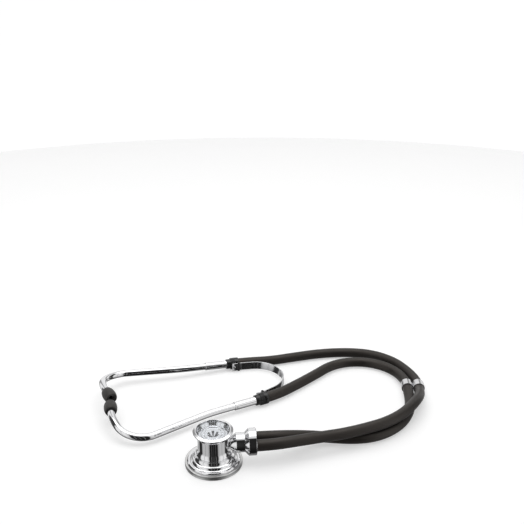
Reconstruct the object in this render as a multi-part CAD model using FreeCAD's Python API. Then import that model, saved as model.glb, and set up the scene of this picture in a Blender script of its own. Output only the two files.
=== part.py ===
"""Twin-tube acoustic stethoscope: two-sided chestpiece, two rubber tubes, spring headset.

Millimetres, +Z up. The origin is the centre of the large diaphragm's working face, which lies
on the table. +X runs along the stem, from the chestpiece towards the tubes. "left" is the arm
further along +Y, "right" the nearer one.
"""
import FreeCAD, Part
import math
import os

Vector = FreeCAD.Vector

# ---------------------------------------------------------------- driving dimensions
RUNNING_FIT = 0.05            # radial gap of parts that turn or slide in each other
SCREWED_FIT = 0.05            # radial gap of screwed-in parts, whose threads are left plain

# chestpiece: the large side looks down, the small side looks up
STEM_AXIS_HEIGHT = 17.0
HUB_RADIUS = 12.0
HUB_FOOT_RADIUS = 13.6
HUB_BOTTOM = 10.2
HUB_FLARE_TOP = 14.2
HUB_TOP = 24.3
AIR_HOLE_RADIUS = 1.6
SPIGOT_RADIUS = 3.5
SPIGOT_LENGTH = 1.7

LARGE_RING_RADIUS = 22.3
LARGE_RING_HEIGHT = 3.4
LARGE_THREAD_RADIUS = 20.4
LARGE_LIP_WIDTH = 1.1
LARGE_LIP_THICKNESS = 0.8
DIAPHRAGM_THICKNESS = 0.4
LARGE_GASKET_THICKNESS = 0.65
LARGE_RING_EDGE = 0.35
DRUM_RIM_WIDTH = 1.6
DRUM_CUP_DEPTH = 2.4
DRUM_CUP_EDGE = 0.6
DRUM_SHOULDER_RISE = 0.5      # how far the drum's side stands above its ring
DRUM_STEP = 0.7
DRUM_LEDGE_WIDTH = 2.4
DRUM_LEDGE_RISE = 2.4

SMALL_RING_RADIUS = 15.5
SMALL_THREAD_RADIUS = 14.3
SMALL_DRUM_HEIGHT = 4.3
SMALL_GASKET_THICKNESS = 0.4
SMALL_RING_LIP_WIDTH = 1.3
SMALL_RING_LIP_THICKNESS = 0.7
SMALL_RING_CHAMFER = 0.7
SMALL_RING_SKIRT = 0.9        # how far the ring reaches down the drum's side
SMALL_RIM_WIDTH = 1.4
SMALL_CUP_DEPTH = 2.4
SMALL_CUP_SLOPE = 1.9
CUP_RING_RADII = (9.2, 7.0)
CUP_RING_HEIGHT = 0.25
CUP_RING_HALF_WIDTH = 0.3
FUNNEL_RADIUS = 4.4
FUNNEL_DEPTH = 3.0
DISC_EDGE_GAP = 0.1           # radial gap round the diaphragms and gaskets

# stem
SPINDLE_RADIUS = 4.5
SPINDLE_DEPTH = 8.6
SPINDLE_GROOVE_WIDTH = 1.8
SPINDLE_GROOVE_DEPTH = 0.7
SPINDLE_GROOVE_PLACE = -6.2
SEAL_PLACES = (-3.6, 8.6)
SEAL_SECTION = 0.55
SHOULDER_START = 12.6
NECK_START = 17.5
NECK_RADIUS = 7.6
NECK_END = 24.0
FLANGE_RADIUS = 10.5
FLANGE_CHAMFER = 3.0
FLANGE_EDGE = 0.4
FLANGE_FACE = 33.0
STEM_BORE_RADIUS = 2.0
BARB_SPACING = 10.8

# detent and retaining screw, both entering the hub from +Y
DETENT_PLACE = 3.4
DETENT_BALL_RADIUS = 1.25
DETENT_DIMPLE_DEPTH = 0.25
DETENT_SPRING_LENGTH = 2.4
DETENT_SPRING_WALL = 0.35
GRUB_SCREW_RADIUS = 1.6
GRUB_SCREW_LENGTH = 2.6
GRUB_SCREW_HEAD = HUB_RADIUS - 0.9
HEX_SOCKET_RADIUS = 0.8
HEX_SOCKET_DEPTH = 1.1
SCREW_TIP_RADIUS = 0.7

# rubber tubes and hose barbs
TUBE_RADIUS = 4.5
TUBE_BORE_RADIUS = 2.4
BARB_LENGTH = 8.0
BARB_RIB_COUNT = 3
BARB_RIB_DEPTH = 0.35
BARB_BORE_RADIUS = 1.2
BARB_ROOT_LENGTH = 3.5
BARB_ROOT_RADIUS = 3.0

# figure-eight clip round both tubes
CLIP_WIDTH = 8.0
CLIP_BAND = 0.6
CLIP_GAP = 0.12
CLIP_RUN = 10                 # the clip sits on the run that follows this point of each route

# headset arms, measured along each arm's axis from the end face of its rubber tube
BAND_WIDTH = 0.9
BAND_RADIUS = TUBE_RADIUS
COLLAR_RADIUS = 5.5
COLLAR_BOOT_LENGTH = 3.2      # how far the collar reaches back over the rubber tube
COLLAR_SHOULDER = 4.4
COLLAR_NOSE_RADIUS = 4.6
COLLAR_NOSE_END = 8.6
COLLAR_EDGE = 0.3
COLLAR_RIB_COUNT = 3
COLLAR_RIB_PITCH = 1.0
COLLAR_GROOVE_DEPTH = 0.3
KEEPER_LENGTH = 2.0           # loop of the collar that holds the leaf spring to the arm
KEEPER_WALL = 0.6
SLEEVE_RADIUS = 3.6
SLEEVE_LENGTH = 29.0
SLEEVE_SOCKET_START = 11.0
SLEEVE_EDGE = 0.3
EAR_TUBE_START = SLEEVE_SOCKET_START + 0.4
EAR_TUBE_RADIUS = 3.05
EAR_TUBE_WALL = 0.8
EAR_TUBE_STRAIGHT = 12.0
EAR_TUBE_SPLAY_DEG = 7.0
EAR_TUBE_SPLAY_RADIUS = 180.0
LEFT_EAR_TUBE_REACH = 38.0
RIGHT_EAR_TUBE_REACH = 41.0
EAR_BEND_DEG = 89.0
EAR_BEND_RADIUS = 22.6
EAR_TWIST_DEG = 35.0
EAR_TURN_IN_DEG = 27.0
EAR_TURN_IN_RADIUS = 40.0
EAR_TUBE_END = 8.0
LEFT_SWIVEL_DEG = -12.3
RIGHT_SWIVEL_DEG = -15.2
SWIVEL_PIN_RADIUS = 0.6
SWIVEL_PIN_PLACE = 27.2
SWIVEL_PIN_HEAD = 0.35
SWIVEL_GROOVE_DEPTH = 0.35

# ear tips
TIP_RADIUS = 5.7
TIP_LENGTH = 12.4
TIP_SKIRT_RADIUS = 4.7
TIP_END_RADIUS = 4.7
TIP_FUNNEL_RADIUS = 3.2
TIP_FUNNEL_DEPTH = 2.0
TIP_SOUND_HOLE_RADIUS = 1.7
FERRULE_RADIUS = 3.75
FERRULE_START = 1.2
FERRULE_EDGE = 0.3

# leaf spring, in the headset's own plane
LEAF_THICKNESS = 0.9
LEAF_HEIGHT = 7.5
LEAF_CENTRE_HEIGHT = 4.9
LEAF_LEG_DEG = 15.5
LEAF_BOW_RADIUS = 25.3
LEAF_FACE_DISTANCE = 5.55     # from each arm's axis to the leaf's outer face
LEAF_REACH = 3.8              # how far the flat ends run along the arms, past the tubes' ends
LEAF_BEND_PLACE = -3.6
TAB_LENGTH = 3.6
TAB_THICKNESS = 0.6
RIVET_PLACE = 2.1
RIVET_RADIUS = 0.9
RIVET_HEAD_RADIUS = 1.4
RIVET_HEAD_HEIGHT = 0.4

# tube centre lines, from the stem's flange to the arm; the last run is in line with the arm
LEFT_ROUTE = [
    (33.0, -5.4, 17.0), (46.0, -5.4, 17.0), (66.0, -0.8, 15.8), (85.0, 4.0, 14.4),
    (103.0, 7.0, 14.0), (122.0, 12.0, 14.0), (141.0, 18.6, 14.0), (158.5, 29.8, 14.0),
    (172.3, 45.0, 13.6), (182.0, 60.5, 10.4), (187.4, 76.0, 5.4), (189.9, 92.0, 5.4),
    (187.5, 111.0, 4.6), (179.5, 131.5, 4.6), (163.0, 147.5, 4.6), (140.5, 154.5, 4.6),
    (112.0, 155.2, 4.6), (84.0, 150.3, 4.6), (60.0, 145.6, 4.6), (38.7, 145.4, 4.8),
    (26.0, 142.6, 5.55),
]
RIGHT_ROUTE = [
    (33.0, 5.4, 17.0), (46.0, 5.4, 17.0), (66.0, 9.4, 13.2), (82.0, 15.0, 7.6),
    (97.0, 15.8, 4.6), (112.0, 12.8, 4.6), (128.0, 13.2, 4.6), (143.5, 19.0, 4.6),
    (157.8, 30.0, 4.6), (168.5, 45.0, 4.6), (174.3, 61.0, 4.6), (177.3, 77.6, 5.4),
    (179.8, 93.6, 5.4), (177.0, 110.8, 4.6), (167.0, 125.0, 4.6), (151.0, 134.0, 4.6),
    (132.5, 135.2, 4.6), (115.5, 129.0, 4.6), (100.9, 116.2, 4.6), (80.5, 99.8, 4.6),
    (60.0, 83.9, 5.25), (47.1, 78.5, 5.5),
]
RIGHT_CLIP_RUN = CLIP_RUN + 1

UP = Vector(0, 0, 1)
STEM_CENTRE = Vector(0, 0, STEM_AXIS_HEIGHT)
ALONG_STEM = Vector(1, 0, 0)
parts = {}


# ---------------------------------------------------------------- general helpers
def points(route):
    return [Vector(*p) for p in route]


def frame_at(origin, direction):
    """A placement whose local Z lies along direction and whose local X is as level as it can be."""
    z_axis = Vector(direction).normalize()
    side = UP.cross(z_axis)
    if side.Length < 1e-6:
        side = Vector(1, 0, 0)
    x_axis = side.normalize()
    y_axis = z_axis.cross(x_axis)
    matrix = FreeCAD.Matrix(
        x_axis.x, y_axis.x, z_axis.x, origin.x,
        x_axis.y, y_axis.y, z_axis.y, origin.y,
        x_axis.z, y_axis.z, z_axis.z, origin.z,
        0, 0, 0, 1)
    return FreeCAD.Placement(matrix)


def placed(shape, placement):
    moved = shape.copy()
    moved.Placement = placement.multiply(moved.Placement)
    return moved


def turned(profile, rounded=()):
    """Solid of revolution about Z from (radius, height) points.

    rounded holds (start index, middle point) pairs: the edge from that point is an arc.
    """
    arcs = dict(rounded)
    corners = [Vector(r, 0, z) for r, z in profile]
    edges = []
    for i, start in enumerate(corners):
        end = corners[(i + 1) % len(corners)]
        if i in arcs:
            middle = Vector(arcs[i][0], 0, arcs[i][1])
            edges.append(Part.Arc(start, middle, end).toShape())
        else:
            edges.append(Part.LineSegment(start, end).toShape())
    face = Part.Face(Part.Wire(edges))
    return face.revolve(Vector(0, 0, 0), UP, 360)


def rod(radius, start, end):
    """A round rod between two points."""
    axis = end - start
    return Part.makeCylinder(radius, axis.Length, start, axis)


def swept(wire, start, direction, radius):
    circle = Part.Wire(Part.Circle(start, direction, radius).toShape())
    return wire.makePipeShell([circle], True, False)


def hollow_sweep(wire, start, direction, outer, inner):
    return swept(wire, start, direction, outer).cut(swept(wire, start, direction, inner))


# ---------------------------------------------------------------- tubes
def route_wire(route):
    """Straight runs joined by tangent arcs as large as the runs allow; returns wire and radii."""
    spots = points(route)
    edges = []
    radii = []
    here = spots[0]
    for before, corner, after in zip(spots, spots[1:], spots[2:]):
        into = (corner - before).normalize()
        away = (after - corner).normalize()
        shorter = min((corner - before).Length, (after - corner).Length)
        reach = 0.45 * shorter
        turn = into.getAngle(away)
        radii.append(reach / math.tan(turn / 2))
        arc_start = corner - into * reach
        arc_end = corner + away * reach
        inward = (away - into).normalize()
        centre_distance = radii[-1] / math.cos(turn / 2)
        arc_middle = corner + inward * (centre_distance - radii[-1])
        edges.append(Part.LineSegment(here, arc_start).toShape())
        edges.append(Part.Arc(arc_start, arc_middle, arc_end).toShape())
        here = arc_end
    edges.append(Part.LineSegment(here, spots[-1]).toShape())
    return Part.Wire(edges), radii


def rubber_tube(name, route):
    wire, radii = route_wire(route)
    spots = points(route)
    tube = hollow_sweep(wire, spots[0], spots[1] - spots[0], TUBE_RADIUS, TUBE_BORE_RADIUS)
    section = math.pi * (TUBE_RADIUS ** 2 - TUBE_BORE_RADIUS ** 2)
    print(name, "length", round(wire.Length, 1), "volume over section times length",
          round(tube.Volume / (section * wire.Length), 4))
    print(name, "radii", [round(r) for r in radii])
    return tube


def hose_barb(root_length, root_radius):
    """A barb along +Z with its root below zero; the ribs just clear the tube's bore."""
    rib_radius = TUBE_BORE_RADIUS - RUNNING_FIT
    core_radius = rib_radius - BARB_RIB_DEPTH
    pitch = BARB_LENGTH / (BARB_RIB_COUNT + 1)
    profile = [(BARB_BORE_RADIUS, -root_length), (root_radius, -root_length),
               (root_radius, 0), (core_radius, 0)]
    for rib in range(BARB_RIB_COUNT):
        foot = pitch * (rib + 1)
        profile += [(core_radius, foot), (rib_radius, foot), (core_radius, foot + pitch * 0.8)]
    profile += [(core_radius, BARB_LENGTH), (BARB_BORE_RADIUS, BARB_LENGTH)]
    return turned(profile)


def tube_clip():
    """A flat band that runs round both tubes in a figure eight."""
    left = points(LEFT_ROUTE)
    right = points(RIGHT_ROUTE)
    left_middle = (left[CLIP_RUN] + left[CLIP_RUN + 1]) * 0.5
    right_middle = (right[RIGHT_CLIP_RUN] + right[RIGHT_CLIP_RUN + 1]) * 0.5
    along = (left[CLIP_RUN + 1] - left[CLIP_RUN]).normalize()
    loop_radius = TUBE_RADIUS + CLIP_GAP
    outer = None
    holes = []
    for middle in (left_middle, right_middle):
        start = middle - along * (CLIP_WIDTH / 2)
        end = middle + along * (CLIP_WIDTH / 2)
        band = rod(loop_radius + CLIP_BAND, start, end)
        outer = band if outer is None else outer.fuse(band)
        holes.append(rod(loop_radius, start - along, end + along))
    return outer.cut(holes[0]).cut(holes[1]).removeSplitter()


# ---------------------------------------------------------------- chestpiece
def large_lip_radius():
    return LARGE_THREAD_RADIUS - LARGE_LIP_WIDTH


def drum_rim_height():
    return LARGE_LIP_THICKNESS + DIAPHRAGM_THICKNESS + LARGE_GASKET_THICKNESS


def small_rim_height():
    return HUB_TOP + SMALL_DRUM_HEIGHT


def large_ring():
    inner = LARGE_THREAD_RADIUS + SCREWED_FIT
    edge = LARGE_RING_EDGE
    return turned([
        (large_lip_radius(), 0), (LARGE_RING_RADIUS - edge, 0), (LARGE_RING_RADIUS, edge),
        (LARGE_RING_RADIUS, LARGE_RING_HEIGHT - edge),
        (LARGE_RING_RADIUS - edge, LARGE_RING_HEIGHT),
        (inner + edge, LARGE_RING_HEIGHT), (inner, LARGE_RING_HEIGHT - edge),
        (inner, LARGE_LIP_THICKNESS), (large_lip_radius(), LARGE_LIP_THICKNESS)])


def large_diaphragm():
    """The working face is flush with the ring; a step lifts its edge onto the ring's lip."""
    face_radius = large_lip_radius() - 3 * DISC_EDGE_GAP
    edge_radius = LARGE_THREAD_RADIUS - DISC_EDGE_GAP
    seat = LARGE_LIP_THICKNESS
    step = DIAPHRAGM_THICKNESS
    return turned([
        (0, 0), (face_radius - step, 0), (face_radius, step), (face_radius, seat),
        (edge_radius, seat), (edge_radius, seat + step), (face_radius - step, seat + step),
        (face_radius - step, step), (0, step)])


def flat_ring(inner, outer, bottom, top):
    return turned([(inner, bottom), (outer, bottom), (outer, top), (inner, top)])


def large_gasket():
    return flat_ring(LARGE_THREAD_RADIUS - DRUM_RIM_WIDTH, LARGE_THREAD_RADIUS - DISC_EDGE_GAP,
                     LARGE_LIP_THICKNESS + DIAPHRAGM_THICKNESS, drum_rim_height())


def large_drum():
    """Bell-shaped drum: a shallow cup below, and a shoulder and ledge that rise to the hub."""
    rim = drum_rim_height()
    cup_top = rim + DRUM_CUP_DEPTH
    rim_inner = LARGE_THREAD_RADIUS - DRUM_RIM_WIDTH
    step = DRUM_STEP
    shoulder = LARGE_RING_HEIGHT + DRUM_SHOULDER_RISE
    shoulder_inner = LARGE_THREAD_RADIUS - 2 * step
    foot = HUB_FOOT_RADIUS + step
    ledge = foot + DRUM_LEDGE_WIDTH
    ledge_height = shoulder + DRUM_LEDGE_RISE
    profile = [
        (AIR_HOLE_RADIUS, cup_top), (2 * AIR_HOLE_RADIUS, cup_top - step / 2),
        (rim_inner - DRUM_CUP_EDGE, rim + step), (rim_inner, rim), (LARGE_THREAD_RADIUS, rim),
        (LARGE_THREAD_RADIUS, shoulder), (LARGE_THREAD_RADIUS - step, shoulder + step),
        (shoulder_inner, shoulder + step), (ledge, ledge_height),
        (ledge, ledge_height + step / 2), (foot, HUB_BOTTOM - step),
        (HUB_FOOT_RADIUS, HUB_BOTTOM - step), (HUB_FOOT_RADIUS, HUB_BOTTOM),
        (SPIGOT_RADIUS, HUB_BOTTOM), (SPIGOT_RADIUS, HUB_BOTTOM + SPIGOT_LENGTH),
        (AIR_HOLE_RADIUS, HUB_BOTTOM + SPIGOT_LENGTH)]
    lower_hollow = ((ledge + shoulder_inner - step) / 2, shoulder + DRUM_LEDGE_RISE / 2)
    upper_hollow = (foot + DRUM_LEDGE_WIDTH / 3, (ledge_height + HUB_BOTTOM - 2 * step) / 2)
    return turned(profile, [(7, lower_hollow), (9, upper_hollow)])


def hub():
    foot_edge = 0.3
    flare_middle = ((HUB_RADIUS + HUB_FOOT_RADIUS) / 2 - 0.35, (HUB_BOTTOM + HUB_FLARE_TOP) / 2)
    body = turned([
        (0, HUB_BOTTOM), (HUB_FOOT_RADIUS - foot_edge, HUB_BOTTOM),
        (HUB_FOOT_RADIUS, HUB_BOTTOM + foot_edge), (HUB_RADIUS, HUB_FLARE_TOP),
        (HUB_RADIUS, HUB_TOP), (0, HUB_TOP)], [(2, flare_middle)])
    bore_radius = SPINDLE_RADIUS + RUNNING_FIT
    bore_end = STEM_CENTRE - ALONG_STEM * (SPINDLE_DEPTH + 0.4)
    body = body.cut(rod(bore_radius, bore_end, STEM_CENTRE + ALONG_STEM * (HUB_FOOT_RADIUS + 1)))
    air = rod(AIR_HOLE_RADIUS, Vector(0, 0, HUB_BOTTOM - 1), Vector(0, 0, HUB_TOP + 1))
    body = body.cut(air)
    socket_radius = SPIGOT_RADIUS + SCREWED_FIT
    socket_depth = SPIGOT_LENGTH + 0.1
    body = body.cut(rod(socket_radius, Vector(0, 0, HUB_BOTTOM - 1),
                        Vector(0, 0, HUB_BOTTOM + socket_depth)))
    body = body.cut(rod(socket_radius, Vector(0, 0, HUB_TOP - socket_depth),
                        Vector(0, 0, HUB_TOP + 1)))
    for place in (DETENT_PLACE, SPINDLE_GROOVE_PLACE):
        inside = Vector(place, 0, STEM_AXIS_HEIGHT)
        outside = Vector(place, HUB_RADIUS + 1, STEM_AXIS_HEIGHT)
        body = body.cut(rod(GRUB_SCREW_RADIUS + SCREWED_FIT, inside, outside))
    return body


def small_drum():
    """Shallow cup with a steep rim, two raised rings and a funnel to the air hole."""
    rim = small_rim_height()
    cup_radius = SMALL_THREAD_RADIUS - SMALL_RIM_WIDTH
    cup_floor = rim - SMALL_CUP_DEPTH
    thread_foot = rim - SMALL_RING_SKIRT - CUP_RING_HALF_WIDTH
    flare_radius = HUB_RADIUS + 2 * CUP_RING_HALF_WIDTH
    profile = [
        (AIR_HOLE_RADIUS, HUB_TOP - SPIGOT_LENGTH), (SPIGOT_RADIUS, HUB_TOP - SPIGOT_LENGTH),
        (SPIGOT_RADIUS, HUB_TOP), (HUB_RADIUS, HUB_TOP),
        (HUB_RADIUS, HUB_TOP + 2 * CUP_RING_HEIGHT),
        (flare_radius, HUB_TOP + 4 * CUP_RING_HEIGHT),
        (SMALL_THREAD_RADIUS - CUP_RING_HEIGHT, thread_foot - CUP_RING_HEIGHT),
        (SMALL_THREAD_RADIUS, thread_foot), (SMALL_THREAD_RADIUS, rim), (cup_radius, rim),
        (cup_radius - CUP_RING_HALF_WIDTH, rim - 2 * CUP_RING_HALF_WIDTH),
        (cup_radius - SMALL_CUP_SLOPE, cup_floor)]
    for radius in CUP_RING_RADII:
        profile += [(radius + CUP_RING_HALF_WIDTH, cup_floor),
                    (radius, cup_floor + CUP_RING_HEIGHT),
                    (radius - CUP_RING_HALF_WIDTH, cup_floor)]
    profile += [(FUNNEL_RADIUS, cup_floor - CUP_RING_HEIGHT),
                (AIR_HOLE_RADIUS, cup_floor - FUNNEL_DEPTH)]
    return turned(profile)


def small_gasket():
    bottom = small_rim_height()
    return flat_ring(SMALL_THREAD_RADIUS - SMALL_RING_LIP_WIDTH,
                     SMALL_THREAD_RADIUS - DISC_EDGE_GAP,
                     bottom, bottom + SMALL_GASKET_THICKNESS)


def small_diaphragm():
    bottom = small_rim_height() + SMALL_GASKET_THICKNESS
    radius = SMALL_THREAD_RADIUS - DISC_EDGE_GAP
    return turned([(0, bottom), (radius, bottom), (radius, bottom + DIAPHRAGM_THICKNESS),
                   (0, bottom + DIAPHRAGM_THICKNESS)])


def small_ring():
    inner = SMALL_THREAD_RADIUS + SCREWED_FIT
    lip_bottom = small_rim_height() + SMALL_GASKET_THICKNESS + DIAPHRAGM_THICKNESS
    lip_radius = SMALL_THREAD_RADIUS - SMALL_RING_LIP_WIDTH
    top = lip_bottom + SMALL_RING_LIP_THICKNESS
    skirt = small_rim_height() - SMALL_RING_SKIRT
    slope = SMALL_RING_RADIUS - inner
    edge = DISC_EDGE_GAP * 2
    return turned([
        (inner, skirt), (inner + slope / 3, skirt), (SMALL_RING_RADIUS, skirt + slope),
        (SMALL_RING_RADIUS, top - SMALL_RING_CHAMFER),
        (lip_radius + SMALL_RING_CHAMFER, top), (lip_radius + edge, top),
        (lip_radius, top - edge), (lip_radius, lip_bottom), (inner, lip_bottom)])


def grub_screw(place, tip_end):
    """Socket set screw along -Y in the hub, with a plain tip that ends tip_end from the axis."""
    head_out = GRUB_SCREW_HEAD
    body_in = head_out - GRUB_SCREW_LENGTH
    centre = Vector(place, 0, STEM_AXIS_HEIGHT)
    outward = Vector(0, 1, 0)
    screw = rod(GRUB_SCREW_RADIUS, centre + outward * body_in, centre + outward * head_out)
    if tip_end is not None:
        tip = rod(SCREW_TIP_RADIUS, centre + outward * tip_end, centre + outward * body_in)
        screw = screw.fuse(tip)
    corner_angles = [math.radians(60 * k) for k in range(6)]
    corners = [centre + Vector(HEX_SOCKET_RADIUS * math.cos(a), head_out,
                               HEX_SOCKET_RADIUS * math.sin(a)) for a in corner_angles]
    outline = Part.Face(Part.makePolygon(corners + corners[:1]))
    return screw.cut(outline.extrude(Vector(0, -HEX_SOCKET_DEPTH, 0)))


def detent_seat():
    """Distance from the stem's axis to the centre of the detent ball."""
    return SPINDLE_RADIUS - DETENT_DIMPLE_DEPTH + DETENT_BALL_RADIUS


def detent_ball():
    return Part.makeSphere(DETENT_BALL_RADIUS,
                           Vector(DETENT_PLACE, detent_seat(), STEM_AXIS_HEIGHT))


def detent_spring():
    """Coil spring drawn as a sleeve between the ball and the screw that closes its hole."""
    end = GRUB_SCREW_HEAD - GRUB_SCREW_LENGTH
    start = end - DETENT_SPRING_LENGTH
    centre = Vector(DETENT_PLACE, 0, STEM_AXIS_HEIGHT)
    outward = Vector(0, 1, 0)
    outer = rod(DETENT_BALL_RADIUS, centre + outward * start, centre + outward * end)
    bore = rod(DETENT_BALL_RADIUS - DETENT_SPRING_WALL,
               centre + outward * (start - 1), centre + outward * (end + 1))
    ball_room = Part.makeSphere(DETENT_BALL_RADIUS + 0.01,
                                centre + outward * detent_seat())
    return outer.cut(bore).cut(ball_room)


# ---------------------------------------------------------------- stem
def stem_frame():
    return frame_at(STEM_CENTRE, ALONG_STEM)


def stem_spindle():
    """Valve spindle, its conical shoulder and the neck that carries the flange."""
    groove = SPINDLE_GROOVE_WIDTH / 2
    groove_radius = SPINDLE_RADIUS - SPINDLE_GROOVE_DEPTH
    seal_radius = SPINDLE_RADIUS - SEAL_SECTION
    profile = [(0, -SPINDLE_DEPTH), (SPINDLE_RADIUS, -SPINDLE_DEPTH),
               (SPINDLE_RADIUS, SPINDLE_GROOVE_PLACE - groove),
               (groove_radius, SPINDLE_GROOVE_PLACE - groove),
               (groove_radius, SPINDLE_GROOVE_PLACE + groove),
               (SPINDLE_RADIUS, SPINDLE_GROOVE_PLACE + groove)]
    for place in SEAL_PLACES:
        profile += [(SPINDLE_RADIUS, place - SEAL_SECTION), (seal_radius, place - SEAL_SECTION),
                    (seal_radius, place + SEAL_SECTION), (SPINDLE_RADIUS, place + SEAL_SECTION)]
    profile += [(SPINDLE_RADIUS, SHOULDER_START), (SPINDLE_RADIUS + 0.5, SHOULDER_START + 0.4),
                (NECK_RADIUS - 0.3, NECK_START - 0.6), (NECK_RADIUS, NECK_START),
                (NECK_RADIUS, NECK_END), (0, NECK_END)]
    body = placed(turned(profile), stem_frame())
    bore = rod(STEM_BORE_RADIUS, STEM_CENTRE - ALONG_STEM * AIR_HOLE_RADIUS,
               STEM_CENTRE + ALONG_STEM * (NECK_END + 1))
    port = rod(AIR_HOLE_RADIUS, STEM_CENTRE, STEM_CENTRE - UP * (SPINDLE_RADIUS + 1))
    body = body.cut(bore).cut(port)
    for side in (1, -1):
        dimple = Part.makeSphere(
            DETENT_BALL_RADIUS + 0.02,
            Vector(DETENT_PLACE, side * detent_seat(), STEM_AXIS_HEIGHT))
        body = body.cut(dimple)
    return body


def spindle_seals():
    """Two square-section rubber rings in the spindle's grooves."""
    rings = []
    for place in SEAL_PLACES:
        ring = turned([
            (SPINDLE_RADIUS - SEAL_SECTION, place - SEAL_SECTION),
            (SPINDLE_RADIUS + RUNNING_FIT * 0.4, place - SEAL_SECTION),
            (SPINDLE_RADIUS + RUNNING_FIT * 0.4, place + SEAL_SECTION),
            (SPINDLE_RADIUS - SEAL_SECTION, place + SEAL_SECTION)])
        rings.append(placed(ring, stem_frame()))
    return Part.makeCompound(rings)


def barb_places():
    return [Vector(FLANGE_FACE, side * BARB_SPACING / 2, STEM_AXIS_HEIGHT) for side in (-1, 1)]


def manifold():
    """Round flange that splits the stem's bore into the two tubes."""
    body = placed(turned([
        (0, NECK_END), (FLANGE_RADIUS - FLANGE_CHAMFER, NECK_END),
        (FLANGE_RADIUS, NECK_END + FLANGE_CHAMFER), (FLANGE_RADIUS, FLANGE_FACE - FLANGE_EDGE),
        (FLANGE_RADIUS - FLANGE_EDGE, FLANGE_FACE), (0, FLANGE_FACE)]), stem_frame())
    inlet_end = NECK_END + 2.2
    body = body.cut(rod(STEM_BORE_RADIUS, STEM_CENTRE + ALONG_STEM * (NECK_END - 1),
                        STEM_CENTRE + ALONG_STEM * inlet_end))
    cross = BARB_SPACING / 2 + BARB_BORE_RADIUS
    middle = STEM_CENTRE + ALONG_STEM * inlet_end
    body = body.cut(rod(STEM_BORE_RADIUS * 0.8, middle - Vector(0, cross, 0),
                        middle + Vector(0, cross, 0)))
    for place in barb_places():
        body = body.cut(rod(BARB_BORE_RADIUS, Vector(inlet_end, place.y, place.z), place))
        body = body.cut(rod(BARB_ROOT_RADIUS + SCREWED_FIT,
                            place - ALONG_STEM * BARB_ROOT_LENGTH, place + ALONG_STEM))
    return body


# ---------------------------------------------------------------- headset
class Arm:
    """One side of the headset: its axis starts at the tube's end face and runs to the ear."""

    def __init__(self, side, route, swivel_deg, reach):
        last = points(route)[-2:]
        self.side = side                       # +1 for the right arm, -1 for the left
        self.start = last[1]
        self.axis = (last[1] - last[0]).normalize()
        self.swivel_deg = swivel_deg
        self.reach = reach
        self.place = frame_at(self.start, self.axis)

    def at(self, distance):
        return self.start + self.axis * distance


LEFT = Arm(-1, LEFT_ROUTE, LEFT_SWIVEL_DEG, LEFT_EAR_TUBE_REACH)
RIGHT = Arm(1, RIGHT_ROUTE, RIGHT_SWIVEL_DEG, RIGHT_EAR_TUBE_REACH)


def sleeve(arm):
    """Lower metal tube: a hose barb at one end and a socket for the ear tube at the other."""
    rib_radius = TUBE_BORE_RADIUS - RUNNING_FIT
    core_radius = rib_radius - BARB_RIB_DEPTH
    pitch = BARB_LENGTH / (BARB_RIB_COUNT + 1)
    socket_radius = EAR_TUBE_RADIUS + RUNNING_FIT
    profile = [(BARB_BORE_RADIUS, -BARB_LENGTH), (core_radius, -BARB_LENGTH)]
    for rib in reversed(range(BARB_RIB_COUNT)):
        foot = -pitch * (rib + 1)
        profile += [(core_radius, foot - pitch * 0.8), (rib_radius, foot), (core_radius, foot)]
    profile += [(core_radius, 0), (SLEEVE_RADIUS, 0),
                (SLEEVE_RADIUS, SLEEVE_LENGTH - SLEEVE_EDGE),
                (SLEEVE_RADIUS - SLEEVE_EDGE, SLEEVE_LENGTH), (socket_radius, SLEEVE_LENGTH),
                (socket_radius, SLEEVE_SOCKET_START), (BARB_BORE_RADIUS, SLEEVE_SOCKET_START)]
    body = placed(turned(profile), arm.place)
    return body.cut(swivel_pin(arm))


def swivel_pin(arm):
    """Small pin pressed through the sleeve's wall, on the side that faces away from the other."""
    foot = arm.at(SWIVEL_PIN_PLACE)
    outward = arm.axis.cross(UP).normalize() * -arm.side
    inner = EAR_TUBE_RADIUS - SWIVEL_GROOVE_DEPTH + 2 * RUNNING_FIT
    return rod(SWIVEL_PIN_RADIUS, foot + outward * inner,
               foot + outward * (SLEEVE_RADIUS + SWIVEL_PIN_HEAD))


def inward(arm):
    """Level unit vector from the arm's axis towards the headset's middle line."""
    return UP.cross(arm.axis).normalize() * -arm.side


def level(vector):
    """The vector's level part: at unit length for a direction, as it is for a place."""
    flat = Vector(vector.x, vector.y, 0)
    return flat.normalize() if abs(vector.Length - 1) < 1e-6 else flat


def slab(arm, start, end, near, far, height):
    """A level block beside the arm, between two distances along it and two inward of it."""
    ahead = level(arm.axis)
    aside = inward(arm)
    corners = [(start, near), (end, near), (end, far), (start, far)]
    base = level(arm.start) + UP * (LEAF_CENTRE_HEIGHT - height / 2)
    outline = [base + ahead * a + aside * b for a, b in corners]
    return Part.Face(Part.makePolygon(outline + outline[:1])).extrude(UP * height)


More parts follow.
